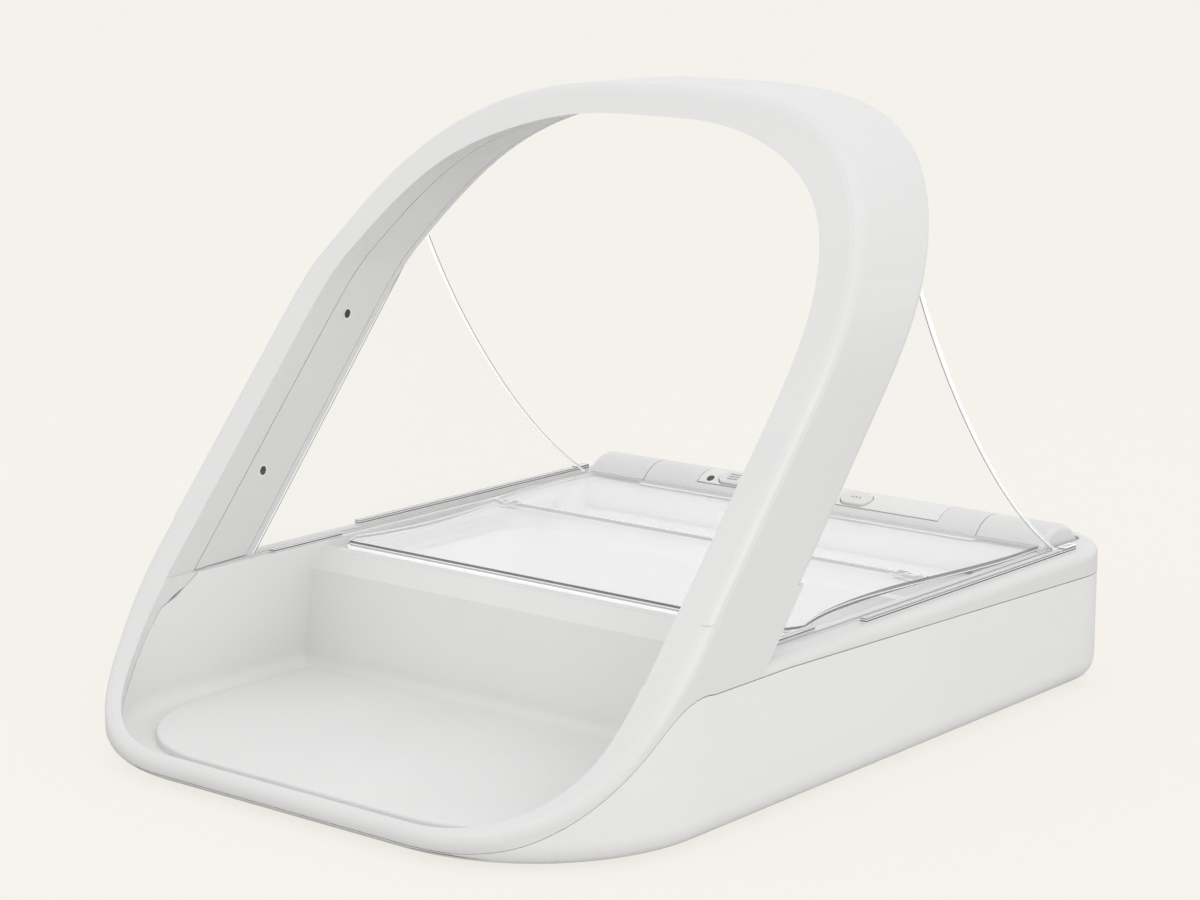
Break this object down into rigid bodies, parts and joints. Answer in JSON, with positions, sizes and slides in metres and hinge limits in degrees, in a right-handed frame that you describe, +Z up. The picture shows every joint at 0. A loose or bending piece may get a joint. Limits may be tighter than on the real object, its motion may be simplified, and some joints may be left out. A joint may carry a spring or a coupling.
{
  "type": "microchip pet feeder",
  "caption": "Pet feeder with a leaning hoop over a food bay, a folding clear lid driven by a geared motor, clear side shields, push buttons and underside battery covers.",
  "frame": {"origin": "centre of the footprint, on the plane under the rubber feet", "axes": "+X to the feeder's right seen from the front, +Y from the front lip to the rear, +Z up"},
  "size_m": [0.23, 0.3129, 0.2125],
  "materials": {
    "casing": "satin white",
    "lining": "satin white",
    "tray": "satin pale grey",
    "mat": "soft matt pale grey",
    "bowl": "gloss white",
    "clear": "clear",
    "steel": "plain",
    "dark_lens": "gloss black",
    "pale_ring": "satin",
    "circuit_board": "matt green",
    "brass": "plain",
    "copper": "enamelled",
    "gear_plastic": "matt",
    "button": "matt",
    "cell": "satin",
    "door": "satin white",
    "rubber": "matt"
  },
  "bodies": {
    "feeder": {"antenna_coil": "copper", "battery_cells": "cell", "battery_contacts": "steel", "battery_springs": "steel", "bowl": "bowl", "casing_screws": "steel", "control_board": "circuit_board", "control_housing": "casing", "control_panel": "lining", "food_tray": "tray", "gearbox": "gear_plastic", "hoop_inner_trim": "lining", "lower_casing": "casing", "main_board": "circuit_board", "mat": "mat", "motor": "steel", "rubber_feet": "rubber", "sensor_boards": "circuit_board", "sensor_rings": "pale_ring", "sensor_windows": "dark_lens", "shaft_bushes": "brass", "side_rail_left": "clear", "side_rail_right": "clear", "side_shield_left": "clear", "side_shield_right": "clear", "status_light": "dark_lens", "upper_casing": "casing"},
    "lid_rear": {"lid_rear_panel": "clear", "lid_hub_left": "casing", "lid_hub_right": "casing", "lid_hinge_pins": "steel", "drive_shaft": "steel", "drive_gear": "gear_plastic"},
    "lid_front": {"lid_front_panel": "clear", "lid_guide_pins": "steel"},
    "pinion": {"motor_pinion": "gear_plastic"},
    "button_left_body": {"button_left": "button"},
    "button_middle_body": {"button_middle": "button"},
    "button_right_body": {"button_right": "button"},
    "battery_door_left_body": {"battery_door_left": "door"},
    "battery_door_right_body": {"battery_door_right": "door"}
  },
  "joints": [
    {"name": "lid_swing", "type": "hinge", "parent": "feeder", "child": "lid_rear", "pos_m": [0, 0.131, 0.043], "axis": [-1, 0, 0], "range_deg": [0, 70]},
    {"name": "lid_fold", "type": "hinge", "parent": "lid_rear", "child": "lid_front", "pos_m": [0, 0.0556, 0.0501], "axis": [1, 0, 0], "range_deg": [0, 140]},
    {"name": "pinion_spin", "type": "hinge", "parent": "feeder", "child": "pinion", "pos_m": [0.04, 0.131, 0.0274], "axis": [-1, 0, 0], "range_deg": [-140, 0]},
    {"name": "button_left_press", "type": "slide", "parent": "feeder", "child": "button_left_body", "axis": [0, 0.3746, -0.9272], "range_m": [0, 0.0008], "stiffness_N_per_m": 800},
    {"name": "button_middle_press", "type": "slide", "parent": "feeder", "child": "button_middle_body", "axis": [0, 0.3746, -0.9272], "range_m": [0, 0.0008], "stiffness_N_per_m": 800},
    {"name": "button_right_press", "type": "slide", "parent": "feeder", "child": "button_right_body", "axis": [0, 0.3746, -0.9272], "range_m": [0, 0.0008], "stiffness_N_per_m": 800},
    {"name": "battery_door_left_hinge", "type": "hinge", "parent": "feeder", "child": "battery_door_left_body", "pos_m": [-0.076, 0.0725, 0.0025], "axis": [-1, 0, 0], "range_deg": [0, 75]},
    {"name": "battery_door_right_hinge", "type": "hinge", "parent": "feeder", "child": "battery_door_right_body", "pos_m": [0.076, 0.0725, 0.0025], "axis": [-1, 0, 0], "range_deg": [0, 75]}
  ],
  "couplings": [
    {"joint": "lid_fold", "follows": "lid_swing", "ratio": 2},
    {"joint": "pinion_spin", "follows": "lid_swing", "ratio": -2}
  ]
}
